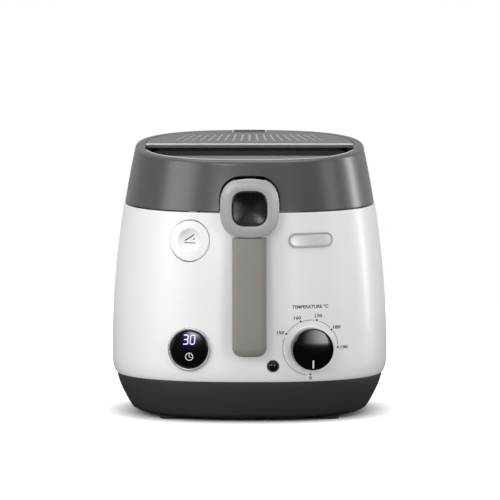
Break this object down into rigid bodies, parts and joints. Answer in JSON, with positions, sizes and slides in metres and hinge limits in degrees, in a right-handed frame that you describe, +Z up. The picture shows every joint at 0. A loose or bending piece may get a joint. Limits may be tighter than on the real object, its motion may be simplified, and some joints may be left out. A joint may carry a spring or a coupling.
{
  "type": "deep fryer",
  "caption": "Compact deep fryer with a rounded body, hinged grey lid, filter cover, folding front handle that lifts the basket, timer button, temperature knob and lid button.",
  "frame": {"origin": "on the table, under the middle of the bounding box of the whole fryer with its folded handle", "axes": "+Z up, the front with the handle and the controls faces -Y, +X is to the right seen from the front"},
  "size_m": [0.285, 0.3502, 0.2816],
  "materials": {
    "body_white": "gloss",
    "base_charcoal": "satin",
    "lid_grey": "satin",
    "cover_grey": "satin",
    "rubber": "matte",
    "seal": "matte",
    "steel": "brushed",
    "aluminium": "plain",
    "non_stick": "non-stick coating",
    "heater": "heat-darkened",
    "copper_tube": "plain",
    "ceramic": "unglazed",
    "silver_ring": "satin silver",
    "grip_taupe": "satin",
    "black_gloss": "gloss",
    "lamp_red": "gloss",
    "smoked_glass": "smoked",
    "carbon": "felt",
    "board_green": "solder mask",
    "wire_sleeve": "glass-fibre sleeve",
    "cream_plastic": "plain"
  },
  "bodies": {
    "housing": {"base_tray": "base_charcoal", "rubber_feet": "rubber", "base_screws": "steel", "chassis_plate": "steel", "outer_shell": "body_white", "heat_shield": "aluminium", "bowl_standoffs": "aluminium", "oil_bowl": "non_stick", "heater_plate": "aluminium", "heater_coil": "heater", "thermal_cutout": "ceramic", "thermostat_body": "ceramic", "thermostat_bulb": "copper_tube", "thermostat_nut": "steel", "lamp_lens": "lamp_red", "lamp_holder": "cream_plastic", "timer_bezel": "silver_ring", "timer_housing": "base_charcoal", "timer_board": "board_green", "timer_battery": "steel", "badge_plate": "silver_ring", "button_guide": "cream_plastic", "lift_bracket": "base_charcoal", "bracket_screws": "steel", "hinge_bracket": "base_charcoal", "hinge_pins": "steel", "terminal_block": "cream_plastic", "cord_gland": "rubber", "gland_nut": "base_charcoal", "supply_wires": "wire_sleeve"},
    "lid": {"lid_shell": "lid_grey", "lid_liner": "steel", "lid_gasket": "seal", "viewing_window": "smoked_glass", "filter_tray": "lid_grey", "carbon_filter": "carbon", "lid_strike": "steel"},
    "filter_cover": {"filter_cover": "cover_grey", "cover_pins": "steel"},
    "handle": {"handle_ring": "silver_ring", "handle_grip": "grip_taupe", "grip_back": "grip_taupe", "handle_shaft": "steel", "drive_gear": "cream_plastic", "handle_screws": "steel"},
    "handle_slider": {"handle_slider": "black_gloss", "slider_spring": "steel"},
    "lift_arm": {"lift_arm": "steel", "arm_shaft": "steel", "arm_pin": "steel"},
    "basket": {"basket_mesh": "steel", "basket_frame": "steel", "basket_hanger": "steel"},
    "knob": {"temperature_knob": "black_gloss", "knob_shaft": "steel"},
    "timer_button": {"timer_button": "black_gloss", "timer_spring": "steel"},
    "lid_button": {"lid_button": "body_white", "button_springs": "steel", "latch_hook": "steel"}
  },
  "joints": [
    {"name": "lid_hinge", "type": "hinge", "parent": "housing", "child": "lid", "pos_m": [0, 0.16961, 0.2195], "axis": [-1, 0, 0], "range_deg": [0, 80]},
    {"name": "filter_cover_hinge", "type": "hinge", "parent": "lid", "child": "filter_cover", "pos_m": [0, 0.02461, 0.2735], "axis": [1, 0, 0], "range_deg": [0, 70]},
    {"name": "handle_fold", "type": "hinge", "parent": "housing", "child": "handle", "pos_m": [0, -0.13939, 0.242], "axis": [-1, 0, 0], "range_deg": [0, 90]},
    {"name": "handle_slider_push", "type": "slide", "parent": "handle", "child": "handle_slider", "axis": [0, 1, 0], "range_m": [0, 0.003], "stiffness_N_per_m": 400},
    {"name": "lift_arm_pivot", "type": "hinge", "parent": "housing", "child": "lift_arm", "pos_m": [0, -0.12525, 0.22786], "axis": [1, 0, 0], "range_deg": [0, 90]},
    {"name": "basket_lift", "type": "slide", "parent": "housing", "child": "basket", "axis": [0, 0, 1], "range_m": [0, 0.05]},
    {"name": "knob_turn", "type": "hinge", "parent": "housing", "child": "knob", "pos_m": [0.063, -0.13605, 0.0775], "axis": [-0.1564, 0.9877, 0], "range_deg": [0, 270]},
    {"name": "timer_button_push", "type": "slide", "parent": "housing", "child": "timer_button", "axis": [0.1564, 0.9877, 0], "range_m": [0, 0.0015], "stiffness_N_per_m": 600},
    {"name": "lid_button_push", "type": "slide", "parent": "housing", "child": "lid_button", "axis": [0.2736, 0.9541, -0.1219], "range_m": [0, 0.003], "stiffness_N_per_m": 400}
  ],
  "couplings": [
    {"joint": "lift_arm_pivot", "follows": "handle_fold", "ratio": 1},
    {"joint": "basket_lift", "follows": "handle_fold", "m_per_rad": 0.03183}
  ]
}
